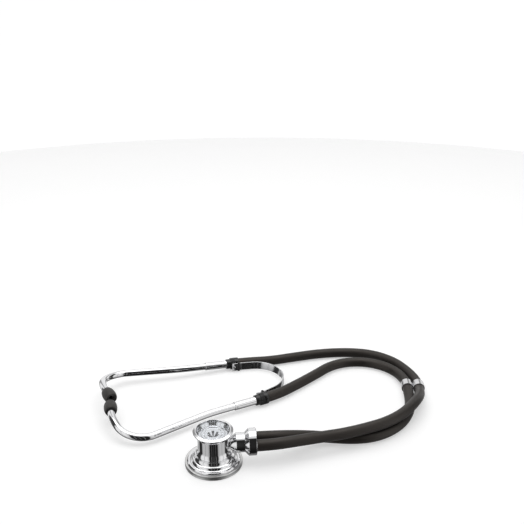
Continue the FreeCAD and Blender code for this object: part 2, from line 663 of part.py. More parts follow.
def collar_body(arm):
    """Turned part of the collar: a boot over the tube's end, ribs, and a narrow nose."""
    bore = SLEEVE_RADIUS + SCREWED_FIT
    boot_bore = TUBE_RADIUS + SCREWED_FIT
    boot_end = -COLLAR_BOOT_LENGTH
    groove_radius = COLLAR_RADIUS - COLLAR_GROOVE_DEPTH
    profile = [(boot_bore, boot_end), (COLLAR_RADIUS - COLLAR_EDGE, boot_end),
               (COLLAR_RADIUS, boot_end + COLLAR_EDGE)]
    for rib in range(COLLAR_RIB_COUNT):
        edge = BAND_WIDTH + COLLAR_RIB_PITCH * rib
        profile += [(COLLAR_RADIUS, edge), (groove_radius, edge + COLLAR_GROOVE_DEPTH / 2),
                    (COLLAR_RADIUS, edge + COLLAR_GROOVE_DEPTH)]
    profile += [(COLLAR_RADIUS, COLLAR_SHOULDER - COLLAR_EDGE),
                (COLLAR_RADIUS - COLLAR_EDGE, COLLAR_SHOULDER),
                (COLLAR_NOSE_RADIUS, COLLAR_SHOULDER + COLLAR_EDGE),
                (COLLAR_NOSE_RADIUS, COLLAR_NOSE_END - COLLAR_EDGE),
                (COLLAR_NOSE_RADIUS - COLLAR_EDGE, COLLAR_NOSE_END), (bore, COLLAR_NOSE_END),
                (bore, BAND_WIDTH), (boot_bore, BAND_WIDTH)]
    return placed(turned(profile), arm.place)


def keeper(arm):
    """Loop on the collar's boot that the leaf spring passes through."""
    boot_end = -COLLAR_BOOT_LENGTH
    strip_outer = LEAF_FACE_DISTANCE - SCREWED_FIT
    strip_inner = LEAF_FACE_DISTANCE + LEAF_THICKNESS + SCREWED_FIT
    slot_height = LEAF_HEIGHT + 2 * SCREWED_FIT
    loop = slab(arm, boot_end, boot_end + KEEPER_LENGTH, 0, strip_inner + KEEPER_WALL,
                slot_height + 2 * KEEPER_WALL)
    slot = slab(arm, boot_end - KEEPER_LENGTH, boot_end + 2 * KEEPER_LENGTH, strip_outer,
                strip_inner, slot_height)
    tube_room = rod(TUBE_RADIUS + SCREWED_FIT, arm.at(boot_end - KEEPER_LENGTH),
                    arm.at(boot_end + 2 * KEEPER_LENGTH))
    return loop.cut(slot).cut(tube_room)


def collar(arm):
    """Moulded collar with its keeper, and a flat on the side where the spring's tab lies."""
    room = COLLAR_RADIUS * 2
    pocket = slab(arm, -COLLAR_BOOT_LENGTH - 1, LEAF_REACH + 2 * SCREWED_FIT,
                  LEAF_FACE_DISTANCE - TAB_THICKNESS - SCREWED_FIT, room, room * 2)
    web_room = slab(arm, -SCREWED_FIT, BAND_WIDTH + SCREWED_FIT, BAND_RADIUS / 2, room,
                    LEAF_HEIGHT + 2 * SCREWED_FIT)
    return collar_body(arm).cut(pocket).cut(web_room).fuse(keeper(arm)).removeSplitter()


def leaf_axis():
    """Unit vector of the headset's middle line, level, pointing to the bow of the leaf spring."""
    return UP.cross(level(RIGHT.start - LEFT.start)).normalize()


def leaf_outline(arm, offset):
    """One face of the strip in plan, offset from its middle: end, bend, leg end, bow, top."""
    axis = leaf_axis()
    away = UP.cross(axis) * -arm.side
    slope = math.radians(LEAF_LEG_DEG)
    leg_normal = axis * math.sin(slope) + away * math.cos(slope)
    flat_normal = inward(arm) * -1
    distance = LEAF_FACE_DISTANCE + LEAF_THICKNESS / 2
    flat_line = level(arm.start) - flat_normal * distance
    end = flat_line + level(arm.axis) * LEAF_REACH
    bend = flat_line + level(arm.axis) * LEAF_BEND_PLACE
    corner = (flat_normal + leg_normal).normalize() / math.cos(
        flat_normal.getAngle(leg_normal) / 2)
    middle = level(LEFT.start + RIGHT.start) * 0.5
    ahead = (bend - middle).dot(axis)
    aside = (bend - middle).dot(away)
    centre = middle + axis * (ahead + (aside - LEAF_BOW_RADIUS / math.cos(slope))
                              / math.tan(slope))
    radius = LEAF_BOW_RADIUS + offset
    return [end + flat_normal * offset, bend + corner * offset, centre + leg_normal * radius,
            centre + (leg_normal + axis).normalize() * radius, centre + axis * radius]


def leaf_half(arm):
    """Half of the spring, from the flat end beside the arm to the top of the bow."""
    bottom = UP * (LEAF_CENTRE_HEIGHT - LEAF_HEIGHT / 2)
    outer = [p + bottom for p in leaf_outline(arm, LEAF_THICKNESS / 2)]
    inner = [p + bottom for p in leaf_outline(arm, -LEAF_THICKNESS / 2)]
    edges = [Part.LineSegment(outer[0], outer[1]).toShape(),
             Part.LineSegment(outer[1], outer[2]).toShape(),
             Part.Arc(outer[2], outer[3], outer[4]).toShape(),
             Part.LineSegment(outer[4], inner[4]).toShape(),
             Part.Arc(inner[4], inner[3], inner[2]).toShape(),
             Part.LineSegment(inner[2], inner[1]).toShape(),
             Part.LineSegment(inner[1], inner[0]).toShape(),
             Part.LineSegment(inner[0], outer[0]).toShape()]
    return Part.Face(Part.Wire(edges)).extrude(UP * LEAF_HEIGHT)


def leaf_spring():
    spring = leaf_half(LEFT).fuse(leaf_half(RIGHT)).removeSplitter()
    for arm in (LEFT, RIGHT):
        spring = spring.cut(rivet_hole(arm))
    return spring


def spring_band(arm):
    """Ring on the sleeve with a web and a flat tab on the outer face of the leaf spring."""
    bore = SLEEVE_RADIUS + SCREWED_FIT
    ring = placed(flat_ring(bore, BAND_RADIUS, 0, BAND_WIDTH), arm.place)
    middle = (bore + BAND_RADIUS) / 2
    edge = SCREWED_FIT * 2
    web = slab(arm, edge, BAND_WIDTH - edge, middle, LEAF_FACE_DISTANCE, TUBE_RADIUS)
    tab = slab(arm, edge, TAB_LENGTH, LEAF_FACE_DISTANCE - TAB_THICKNESS, LEAF_FACE_DISTANCE,
               LEAF_HEIGHT)
    sleeve_room = rod(bore, arm.at(-BAND_WIDTH), arm.at(2 * BAND_WIDTH))
    return ring.fuse(web.cut(sleeve_room)).fuse(tab).cut(rivet_hole(arm)).removeSplitter()


def rivet_point(arm, distance):
    """A point on the rivet's axis, at a distance inward from the arm's axis."""
    foot = level(arm.start) + level(arm.axis) * RIVET_PLACE + inward(arm) * distance
    return foot + UP * LEAF_CENTRE_HEIGHT


def rivet_hole(arm):
    face = LEAF_FACE_DISTANCE
    return rod(RIVET_RADIUS, rivet_point(arm, face - TAB_THICKNESS - 1),
               rivet_point(arm, face + LEAF_THICKNESS + 1))


def spring_rivet(arm):
    """Rivet through tab and leaf, flush outside, with its round head inside the bow."""
    shank = LEAF_THICKNESS + TAB_THICKNESS
    crown = RIVET_HEAD_RADIUS * 0.25
    rivet = turned([(0, -shank), (RIVET_RADIUS, -shank), (RIVET_RADIUS, 0),
                    (RIVET_HEAD_RADIUS, 0), (crown, RIVET_HEAD_HEIGHT), (0, RIVET_HEAD_HEIGHT)],
                   [(3, (RIVET_HEAD_RADIUS * 0.75, RIVET_HEAD_HEIGHT * 0.7))])
    seat = rivet_point(arm, LEAF_FACE_DISTANCE + LEAF_THICKNESS)
    return placed(rivet, frame_at(seat, inward(arm)))


class Bender:
    """Walks along a bent tube's centre line and collects its straight and arc edges."""

    def __init__(self, start, heading, normal):
        self.here = Vector(start)
        self.heading = Vector(heading).normalize()
        self.normal = Vector(normal).normalize()
        self.edges = []

    def straight(self, length):
        end = self.here + self.heading * length
        self.edges.append(Part.LineSegment(self.here, end).toShape())
        self.here = end

    def twist(self, angle_deg):
        self.normal = FreeCAD.Rotation(self.heading, angle_deg).multVec(self.normal)

    def bend(self, angle_deg, radius):
        """Positive angles turn left about the bend's normal."""
        hand = math.copysign(1, angle_deg)
        centre = self.here + self.normal.cross(self.heading) * (hand * radius)
        spoke = self.here - centre
        middle = centre + FreeCAD.Rotation(self.normal, angle_deg / 2).multVec(spoke)
        end = centre + FreeCAD.Rotation(self.normal, angle_deg).multVec(spoke)
        self.edges.append(Part.Arc(self.here, middle, end).toShape())
        self.heading = FreeCAD.Rotation(self.normal, angle_deg).multVec(self.heading)
        self.here = end


def ear_tube_line(arm):
    """Centre line of the ear tube, from its end in the sleeve to its end in the ear tip."""
    normal = arm.axis.cross(UP.cross(arm.axis)).normalize()
    line = Bender(arm.at(EAR_TUBE_START), arm.axis, normal)
    line.twist(arm.side * arm.swivel_deg)
    line.straight(SLEEVE_LENGTH - EAR_TUBE_START + EAR_TUBE_STRAIGHT)
    line.bend(arm.side * EAR_TUBE_SPLAY_DEG, EAR_TUBE_SPLAY_RADIUS)
    line.straight(arm.reach)
    line.bend(-arm.side * EAR_BEND_DEG, EAR_BEND_RADIUS)
    line.twist(arm.side * EAR_TWIST_DEG)
    line.bend(-arm.side * EAR_TURN_IN_DEG, EAR_TURN_IN_RADIUS)
    return line


def ear_tube(arm):
    line = ear_tube_line(arm)
    line.straight(EAR_TUBE_END)
    wire = Part.Wire(line.edges)
    tube = hollow_sweep(wire, arm.at(EAR_TUBE_START), arm.axis, EAR_TUBE_RADIUS, EAR_TUBE_RADIUS - EAR_TUBE_WALL)
    groove_half = SWIVEL_PIN_RADIUS + 0.15
    groove = turned([
        (EAR_TUBE_RADIUS - SWIVEL_GROOVE_DEPTH, SWIVEL_PIN_PLACE - groove_half),
        (EAR_TUBE_RADIUS + 1, SWIVEL_PIN_PLACE - groove_half),
        (EAR_TUBE_RADIUS + 1, SWIVEL_PIN_PLACE + groove_half),
        (EAR_TUBE_RADIUS - SWIVEL_GROOVE_DEPTH, SWIVEL_PIN_PLACE + groove_half)])
    return tube.cut(placed(groove, arm.place))


def tip_frame(arm):
    line = ear_tube_line(arm)
    return frame_at(line.here, line.heading)


def tip_ferrule(arm):
    """Bush on the ear tube's end that the soft tip screws onto."""
    bore = EAR_TUBE_RADIUS + SCREWED_FIT
    end = EAR_TUBE_END
    lip = end + FERRULE_EDGE * 1.5
    body = turned([
        (bore, FERRULE_START), (FERRULE_RADIUS, FERRULE_START), (FERRULE_RADIUS, end),
        (FERRULE_RADIUS - FERRULE_EDGE, lip), (EAR_TUBE_RADIUS - EAR_TUBE_WALL, lip),
        (EAR_TUBE_RADIUS - EAR_TUBE_WALL, end), (bore, end)])
    return placed(body, tip_frame(arm))


def ear_tip(arm):
    """Soft barrel-shaped tip with a funnel into its sound hole."""
    tube_bore = EAR_TUBE_RADIUS + DISC_EDGE_GAP
    ferrule_bore = FERRULE_RADIUS + SCREWED_FIT
    seat = EAR_TUBE_END + FERRULE_EDGE * 2
    throat = TIP_LENGTH - TIP_FUNNEL_DEPTH
    ferrule_seat = FERRULE_START - DISC_EDGE_GAP
    body = turned([
        (tube_bore, 0), (TIP_SKIRT_RADIUS, 0), (TIP_RADIUS, TIP_LENGTH / 2),
        (TIP_END_RADIUS, TIP_LENGTH), (TIP_FUNNEL_RADIUS, TIP_LENGTH),
        (TIP_SOUND_HOLE_RADIUS, throat), (TIP_SOUND_HOLE_RADIUS, seat), (ferrule_bore, seat),
        (ferrule_bore, ferrule_seat), (tube_bore, ferrule_seat)],
        [(1, (TIP_RADIUS * 0.93, TIP_LENGTH * 0.2)), (2, (TIP_RADIUS * 0.97, TIP_LENGTH * 0.8))])
    return placed(body, tip_frame(arm))


# ---------------------------------------------------------------- build
def add(name, shape):
    parts[name] = shape


def build_chestpiece():
    add("chestpiece_hub", hub())
    add("large_drum", large_drum())
    add("large_gasket", large_gasket())
    add("large_diaphragm", large_diaphragm())
    add("large_retaining_ring", large_ring())
    add("small_drum", small_drum())
    add("small_gasket", small_gasket())
    add("small_diaphragm", small_diaphragm())
    add("small_retaining_ring", small_ring())
    add("detent_ball", detent_ball())
    add("detent_spring", detent_spring())
    add("detent_screw", grub_screw(DETENT_PLACE, None))
    add("retaining_screw", grub_screw(SPINDLE_GROOVE_PLACE,
                                      SPINDLE_RADIUS - SPINDLE_GROOVE_DEPTH + 0.1))


def build_stem_and_tubes():
    add("stem_spindle", stem_spindle())
    add("spindle_seals", spindle_seals())
    add("stem_manifold", manifold())
    for name, place in zip(("left_hose_barb", "right_hose_barb"), barb_places()):
        barb = hose_barb(BARB_ROOT_LENGTH - 0.1, BARB_ROOT_RADIUS)
        add(name, placed(barb, frame_at(place, ALONG_STEM)))
    add("left_tube", rubber_tube("left_tube", LEFT_ROUTE))
    add("right_tube", rubber_tube("right_tube", RIGHT_ROUTE))
    add("tube_clip", tube_clip())
    add("leaf_spring", leaf_spring())


def build_arm(name, arm):
    add(name + "_sleeve", sleeve(arm))
    add(name + "_swivel_pin", swivel_pin(arm))
    add(name + "_spring_band", spring_band(arm))
    add(name + "_spring_rivet", spring_rivet(arm))
    add(name + "_collar", collar(arm))
    add(name + "_ear_tube", ear_tube(arm))
    add(name + "_tip_ferrule", tip_ferrule(arm))
    add(name + "_ear_tip", ear_tip(arm))


def build():
    build_chestpiece()
    build_stem_and_tubes()
    build_arm("left", LEFT)
    build_arm("right", RIGHT)
    os.makedirs("parts", exist_ok=True)
    for name, shape in parts.items():
        print(name, "solids", len(shape.Solids), "valid", shape.isValid(),
              "volume", round(shape.Volume, 2))
        shape.exportStep("parts/" + name + ".step")


build()
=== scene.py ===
"""Looks of the twin-tube stethoscope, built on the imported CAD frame. Metres, +Z up."""
import bpy
import bmesh
import math
from mathutils import Matrix, Vector


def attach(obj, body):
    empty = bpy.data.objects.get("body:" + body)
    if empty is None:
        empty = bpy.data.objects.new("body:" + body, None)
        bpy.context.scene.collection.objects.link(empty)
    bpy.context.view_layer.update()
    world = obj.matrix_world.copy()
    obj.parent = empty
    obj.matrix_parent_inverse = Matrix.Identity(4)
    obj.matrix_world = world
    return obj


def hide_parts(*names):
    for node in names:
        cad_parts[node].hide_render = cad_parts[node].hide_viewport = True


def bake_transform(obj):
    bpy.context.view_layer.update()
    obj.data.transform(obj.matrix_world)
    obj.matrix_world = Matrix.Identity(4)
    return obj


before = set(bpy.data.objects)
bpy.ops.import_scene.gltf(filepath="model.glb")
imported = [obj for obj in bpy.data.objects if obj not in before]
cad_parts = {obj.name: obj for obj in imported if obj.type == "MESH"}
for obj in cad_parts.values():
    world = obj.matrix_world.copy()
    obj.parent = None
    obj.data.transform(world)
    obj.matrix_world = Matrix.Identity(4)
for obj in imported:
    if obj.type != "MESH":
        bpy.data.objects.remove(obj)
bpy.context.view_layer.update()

MM = 0.001
UP = Vector((0, 0, 1))

# ---------------------------------------------------------------- sizes, in millimetres
TUBE_RADIUS = 4.5
TUBE_SIDES = 48
TUBE_EDGE = 0.35

LEAF_THICKNESS = 0.9
LEAF_HEIGHT = 7.5
LEAF_CENTRE_HEIGHT = 4.9
LEAF_LEG_DEG = 15.5
LEAF_BOW_RADIUS = 25.3
LEAF_FACE_DISTANCE = 5.55     # from the arm's axis to the leaf's outer face
LEAF_REACH = 3.8
LEAF_BEND_PLACE = -3.6
LEAF_EDGE = 0.22
LEAF_STEPS = 40
LEAF_BEND_EASE = 2            # how far before and after its bend the leaf starts to curve

COLLAR_RADIUS = 5.5
COLLAR_BORE = 3.65
COLLAR_BOOT_BORE = 4.55
COLLAR_BOOT_LENGTH = 3.2
COLLAR_SHOULDER = 4.4
COLLAR_NOSE_RADIUS = 4.6
COLLAR_NOSE_END = 8.6
COLLAR_EDGE = 0.4             # rounding of the boot's end and of the shoulder
COLLAR_NOSE_EDGE = 0.7
# one groove between the collar's ribs: how deep, and how far along from the groove's foot
GROOVE = ((0, -0.1), (0.08, 0), (0.28, 0.08), (0.28, 0.22), (0.08, 0.3), (0, 0.4))
GROOVE_COUNT = 3
COLLAR_FLAT = 4.9             # from the arm's axis to the flat that the spring's tab lies in
BAND_WIDTH = 0.9
KEEPER_LENGTH = 2.0
KEEPER_WALL = 0.6
KEEPER_ROOT = 0.9             # how far the loop reaches back into the collar
KEEPER_PLAY = 0.05
KEEPER_EDGE = 0.4
SLEEVE_LENGTH = 29.0
EAR_TUBE_STRAIGHT = 12.0
EAR_TUBE_SPLAY_DEG = 7.0
EAR_TUBE_SPLAY_RADIUS = 180.0
LEFT_EAR_TUBE_REACH = 38.0
RIGHT_EAR_TUBE_REACH = 41.0
EAR_BEND_DEG = 89.0
EAR_BEND_RADIUS = 22.6
EAR_TWIST_DEG = 35.0
EAR_TURN_IN_DEG = 27.0
EAR_TURN_IN_RADIUS = 40.0

LARGE_RING_RADIUS = 22.3
LARGE_RING_HEIGHT = 3.4
LARGE_RING_BORE = 20.45
LARGE_LIP_RADIUS = 19.3
LARGE_LIP_THICKNESS = 0.8
LARGE_LIP_EDGE = 0.15
LARGE_BORE_EDGE = 0.4
LARGE_LOWER_EDGE = 0.5
LARGE_UPPER_EDGE = 0.45
PLAIN_EDGE = 0.7              # from the ring's end faces to where its side leaves the plain edge
KNURL_START = 0.85            # from the end faces to where the knurl is full
KNURL_LIMIT = 0.8             # the knurl's cut-off between the two
KNURL_COUNT = 180
KNURL_DEPTH = 0.10

# tube centre lines, from the stem's flange to the arm
LEFT_ROUTE = [
    (33.0, -5.4, 17.0), (46.0, -5.4, 17.0), (66.0, -0.8, 15.8), (85.0, 4.0, 14.4),
    (103.0, 7.0, 14.0), (122.0, 12.0, 14.0), (141.0, 18.6, 14.0), (158.5, 29.8, 14.0),
    (172.3, 45.0, 13.6), (182.0, 60.5, 10.4), (187.4, 76.0, 5.4), (189.9, 92.0, 5.4),
    (187.5, 111.0, 4.6), (179.5, 131.5, 4.6), (163.0, 147.5, 4.6), (140.5, 154.5, 4.6),
    (112.0, 155.2, 4.6), (84.0, 150.3, 4.6), (60.0, 145.6, 4.6), (38.7, 145.4, 4.8),
    (26.0, 142.6, 5.55),
]
RIGHT_ROUTE = [
    (33.0, 5.4, 17.0), (46.0, 5.4, 17.0), (66.0, 9.4, 13.2), (82.0, 15.0, 7.6),
    (97.0, 15.8, 4.6), (112.0, 12.8, 4.6), (128.0, 13.2, 4.6), (143.5, 19.0, 4.6),
    (157.8, 30.0, 4.6), (168.5, 45.0, 4.6), (174.3, 61.0, 4.6), (177.3, 77.6, 5.4),
    (179.8, 93.6, 5.4), (177.0, 110.8, 4.6), (167.0, 125.0, 4.6), (151.0, 134.0, 4.6),
    (132.5, 135.2, 4.6), (115.5, 129.0, 4.6), (100.9, 116.2, 4.6), (80.5, 99.8, 4.6),
    (60.0, 83.9, 5.25), (47.1, 78.5, 5.5),
]

# ear tubes and ear tips
LEFT_SWIVEL_DEG = -12.3
RIGHT_SWIVEL_DEG = -15.2
TIP_RADIUS = 5.6
TIP_LENGTH = 12.4
TIP_SKIRT_RADIUS = 4.7
TIP_END_RADIUS = 4.7
TIP_FUNNEL_RADIUS = 3.3
TIP_SOUND_HOLE_RADIUS = 1.7
TIP_SEAT = 8.6
TIP_BORE_RADIUS = 3.8
TIP_SWELL_HEIGHT = TIP_LENGTH * 0.26
TIP_WIDEST_HEIGHT = TIP_LENGTH * 0.52
TIP_TAPER_HEIGHT = TIP_LENGTH * 0.82
TIP_ROLL_WIDTH = 0.8
TIP_ROLL_HEIGHT = 0.25
TIP_FUNNEL_DEPTH = 2.2
TIP_SKIRT_WALL = 0.8
TIP_SKIRT_DEPTH = 2.6

# camera, solved from the shapes of the object
CAMERA_PLACE = (-0.01123, -0.46367, 0.349)
CAMERA_TILT_DEG = 68.5
CAMERA_TURN_DEG = -6.0
SENSOR_MM = 36.0
FOCAL_IN_PICTURE_WIDTHS = 720 / 524

scene = bpy.context.scene


# ---------------------------------------------------------------- small helpers
def metres(point):
    """A point given in millimetres, in metres."""
    return Vector(point) * MM


def smooth(obj):
    for polygon in obj.data.polygons:
        polygon.use_smooth = True


def new_object(name, mesh, material, body, replaced):
    """A visible piece."""
    obj = bpy.data.objects.new(name, mesh)
    scene.collection.objects.link(obj)
    obj.data.materials.append(material)
    smooth(obj)
    if body:
        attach(obj, body)
    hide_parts(*replaced)
    return obj


def mesh_from(name, points, faces):
    mesh = bpy.data.meshes.new(name)
    mesh.from_pydata([tuple(p) for p in points], [], faces)
    mesh.update()
    return mesh


def outward(mesh):
    """Makes the faces of a closed mesh look outward."""
    work = bmesh.new()
    work.from_mesh(mesh)
    bmesh.ops.remove_doubles(work, verts=work.verts, dist=1e-7)
    bmesh.ops.recalc_face_normals(work, faces=work.faces)
    work.to_mesh(mesh)
    work.free()
    return mesh


def frame_at(origin, direction):
    """A matrix whose local Z lies along direction and whose local X is level."""
    z_axis = Vector(direction).normalized()
    x_axis = UP.cross(z_axis)
    x_axis = x_axis.normalized() if x_axis.length > 1e-6 else Vector((1, 0, 0))
    y_axis = z_axis.cross(x_axis)
    turn = Matrix((x_axis, y_axis, z_axis)).transposed().to_4x4()
    return Matrix.Translation(origin) @ turn


def lathe(name, profile, place=None, sides=128, wobble=None):
    """Closed solid of revolution from (radius, height) points in millimetres.

    wobble(angle, radius, height) returns the radius to use there, for knurls and ribs.
    """
    points = []
    faces = []
    count = len(profile)
    for side in range(sides):
        angle = 2 * math.pi * side / sides
        for radius, height in profile:
            r = wobble(angle, radius, height) if wobble else radius
            points.append(Vector((r * math.cos(angle), r * math.sin(angle), height)) * MM)
    for side in range(sides):
        after = (side + 1) % sides
        for i in range(count):
            j = (i + 1) % count
            faces.append((side * count + i, after * count + i, after * count + j,
                          side * count + j))
    mesh = mesh_from(name, points, faces)
    if place is not None:
        mesh.transform(place)
    return outward(mesh)


def curved(start, corner, end, steps):
    """Points of a smooth curve that leaves start towards corner and arrives at end from it."""
    start, corner, end = Vector(start), Vector(corner), Vector(end)
    shares = [(k + 1) / steps for k in range(steps)]
    return [tuple(start * (1 - t) ** 2 + corner * 2 * t * (1 - t) + end * t ** 2)
            for t in shares]


def swept(name, path, section):
    """Sweeps a closed (across, up) section along a path, with as little twist as possible.

    section(i) gives the section's points at path point i. Both ends are capped.
    """
    points = []
    faces = []
    tangent = (path[1] - path[0]).normalized()
    across = UP.cross(tangent)
    across = across.normalized() if across.length > 1e-6 else Vector((1, 0, 0))
    for i, here in enumerate(path):
        before = path[max(i - 1, 0)]
        after = path[min(i + 1, len(path) - 1)]
        new_tangent = (after - before).normalized()
        across = tangent.rotation_difference(new_tangent) @ across
        tangent = new_tangent
        up = tangent.cross(across)
        points += [here + across * a + up * b for a, b in section(i)]
    count = len(points) // len(path)
    for i in range(len(path) - 1):
        for k in range(count):
            n = (k + 1) % count
            faces.append((i * count + k, i * count + n, (i + 1) * count + n,
                          (i + 1) * count + k))
    faces.append(tuple(range(count - 1, -1, -1)))
    faces.append(tuple((len(path) - 1) * count + k for k in range(count)))
    return outward(mesh_from(name, points, faces))


# ---------------------------------------------------------------- materials
NOISE_LOW, NOISE_HIGH = 0.3, 0.7     # the values between which most of a noise's pattern lies


class Shader:
    """A node material with a Principled surface and a few ways to vary it."""

    def __init__(self, name):
        self.material = bpy.data.materials.new(name)
        self.material.use_nodes = True
        self.tree = self.material.node_tree
        self.surface = self.tree.nodes["Principled BSDF"]
        self.coordinates = self.tree.nodes.new("ShaderNodeTexCoord").outputs["Object"]

    def set(self, **values):
        for name, value in values.items():
            self.surface.inputs[name.replace("_", " ")].default_value = value
        return self

    def node(self, kind, **inputs):
        node = self.tree.nodes.new(kind)
        for name, value in inputs.items():
            socket = node.inputs[name.replace("_", " ")]
            if isinstance(value, bpy.types.NodeSocket):
                self.tree.links.new(value, socket)
            else:
                socket.default_value = value
        return node

    def stretched(self, x, y, z):
        mapping = self.node("ShaderNodeMapping", Vector=self.coordinates)
        mapping.inputs["Scale"].default_value = (x, y, z)
        return mapping.outputs["Vector"]

    def noise(self, scale, detail=4.0, vector=None):
        return self.node("ShaderNodeTexNoise", Scale=scale, Detail=detail,
                         Vector=vector or self.coordinates).outputs["Fac"]

    def between(self, factor, low, high):
        node = self.node("ShaderNodeMapRange", Value=factor)
        node.inputs["From Min"].default_value = NOISE_LOW
        node.inputs["From Max"].default_value = NOISE_HIGH
        node.inputs["To Min"].default_value = low
        node.inputs["To Max"].default_value = high
        return node.outputs["Result"]

    def colours(self, factor, first, second):
        node = self.tree.nodes.new("ShaderNodeMix")
        node.data_type = "RGBA"
        self.tree.links.new(factor, node.inputs["Factor"])
        node.inputs["A"].default_value = (*first, 1)
        node.inputs["B"].default_value = (*second, 1)
        return node.outputs["Result"]

    def feed(self, name, output):
        self.tree.links.new(output, self.surface.inputs[name])
        return self

    def bump(self, height, distance, strength=1.0, edge=0.0):
        node = self.node("ShaderNodeBump", Height=height, Strength=strength, Distance=distance)
        if edge:
            bevel = self.tree.nodes.new("ShaderNodeBevel")
            bevel.samples = 4
            bevel.inputs["Radius"].default_value = edge
            self.tree.links.new(bevel.outputs["Normal"], node.inputs["Normal"])
        self.tree.links.new(node.outputs["Normal"], self.surface.inputs["Normal"])
        return self


def chrome(name, low, high):
    """Polished plate with faint smears and hairline wiping marks."""
    tint = (0.83, 0.83, 0.84)
    shader = Shader(name).set(Metallic=1.0)
    smears = shader.noise(90, detail=5)
    wiping = shader.noise(1.0, detail=6, vector=shader.stretched(300, 300, 2600))
    shader.feed("Base Color", shader.colours(smears, tint, tuple(c * 0.93 for c in tint)))
    shader.feed("Roughness", shader.between(smears, low, high))
    return shader.bump(wiping, distance=0.000004, strength=0.5, edge=0.00018).material


def satin_steel():
    """Turned ring with fine lines round its axis."""
    shader = Shader("satin_steel").set(Metallic=1.0)
    lines = shader.noise(1.0, detail=8, vector=shader.stretched(60, 60, 6500))
    patches = shader.noise(160, detail=4)
    shader.feed("Base Color", shader.colours(patches, (0.60, 0.60, 0.60), (0.70, 0.70, 0.69)))
    shader.feed("Roughness", shader.between(lines, 0.24, 0.42))
    return shader.bump(lines, distance=0.00003, strength=0.6, edge=0.00015).material


def spring_steel():
    """Bright strip with rolling marks along its length."""
    shader = Shader("spring_steel").set(Metallic=1.0)
    rolling = shader.noise(1.0, detail=6, vector=shader.stretched(140, 140, 3800))
    patches = shader.noise(120, detail=4)
    shader.feed("Base Color", shader.colours(patches, (0.76, 0.76, 0.77), (0.66, 0.66, 0.67)))
    shader.feed("Roughness", shader.between(patches, 0.10, 0.20))
    return shader.bump(rolling, distance=0.00001, strength=0.5, edge=0.00012).material


def tool_steel():
    shader = Shader("tool_steel").set(Metallic=1.0)
    grain = shader.noise(2400, detail=5)
    shader.feed("Base Color", shader.colours(grain, (0.36, 0.36, 0.37), (0.52, 0.52, 0.52)))
    shader.feed("Roughness", shader.between(grain, 0.28, 0.45))
    return shader.bump(grain, distance=0.00001, strength=0.5, edge=0.0001).material


def tube_rubber():
    """Moulded black rubber: soft sheen, faint bloom, and a fine skin."""
    shader = Shader("tube_rubber").set(Sheen_Weight=0.06, Sheen_Roughness=0.5,
                                       Specular_Tint=(1.0, 0.92, 0.85, 1))
    bloom = shader.noise(55, detail=5)
    skin = shader.noise(2600, detail=4)
    shader.feed("Base Color", shader.colours(bloom, (0.0085, 0.0065, 0.0055),
                                             (0.015, 0.0125, 0.011)))
    shader.feed("Roughness", shader.between(bloom, 0.40, 0.56))
    return shader.bump(skin, distance=0.00003, strength=0.55).material


def tip_rubber():
    """Soft matt moulding, slightly grainy."""
    shader = Shader("tip_rubber").set(Sheen_Weight=0.15, Sheen_Roughness=0.6,
                                      Specular_Tint=(1.0, 0.94, 0.88, 1))
    mottling = shader.noise(260, detail=5)
    grain = shader.noise(3600, detail=3)
    shader.feed("Base Color", shader.colours(mottling, (0.013, 0.012, 0.012),
                                             (0.022, 0.021, 0.020)))
    shader.feed("Roughness", shader.between(mottling, 0.52, 0.70))
    return shader.bump(grain, distance=0.00005, strength=0.6).material


def seal_rubber():
    shader = Shader("seal_rubber")
    grain = shader.noise(3000, detail=4)
    shader.feed("Base Color", shader.colours(grain, (0.015, 0.015, 0.015), (0.030, 0.029, 0.028)))
    shader.feed("Roughness", shader.between(grain, 0.5, 0.68))
    return shader.bump(grain, distance=0.00002, strength=0.5).material


def collar_plastic():
    """Glossy black moulding."""
    shader = Shader("collar_plastic")
    flow = shader.noise(420, detail=4)
    shader.feed("Base Color", shader.colours(flow, (0.006, 0.006, 0.006), (0.012, 0.012, 0.012)))
    shader.feed("Roughness", shader.between(flow, 0.12, 0.24))
    return shader.bump(flow, distance=0.00002, strength=0.35, edge=0.0002).material


def ferrule_plastic():
    shader = Shader("ferrule_plastic")
    grain = shader.noise(1800, detail=4)
    shader.feed("Base Color", shader.colours(grain, (0.03, 0.03, 0.03), (0.05, 0.05, 0.05)))
    shader.feed("Roughness", shader.between(grain, 0.4, 0.55))
    return shader.bump(grain, distance=0.00002, strength=0.5).material


def clear_film():
    """Clear polished disc with a few faint wiping marks."""
    shader = Shader("clear_film").set(Transmission_Weight=1.0, IOR=1.35)
    marks = shader.noise(300, detail=5)
    shader.feed("Base Color", shader.colours(marks, (0.97, 0.98, 0.99), (0.93, 0.95, 0.97)))
    shader.feed("Roughness", shader.between(marks, 0.0, 0.03))
    return shader.material


def resin_disc():
    """The large diaphragm: woven glass cloth under clear resin."""
    shader = Shader("resin_disc").set(Coat_Weight=0.3, Coat_Roughness=0.1)
    across = shader.node("ShaderNodeTexWave", Scale=260.0, Vector=shader.coordinates)
    along = shader.node("ShaderNodeTexWave", Scale=260.0, Vector=shader.coordinates)
    along.bands_direction = "Y"
    weave = shader.node("ShaderNodeMath")
    weave.operation = "MULTIPLY"
    shader.tree.links.new(across.outputs["Fac"], weave.inputs[0])
    shader.tree.links.new(along.outputs["Fac"], weave.inputs[1])
    cloth = weave.outputs["Value"]
    shader.feed("Base Color", shader.colours(cloth, (0.66, 0.65, 0.60), (0.78, 0.77, 0.72)))
    shader.feed("Roughness", shader.between(cloth, 0.30, 0.42))
    return shader.bump(cloth, distance=0.00002, strength=0.4).material


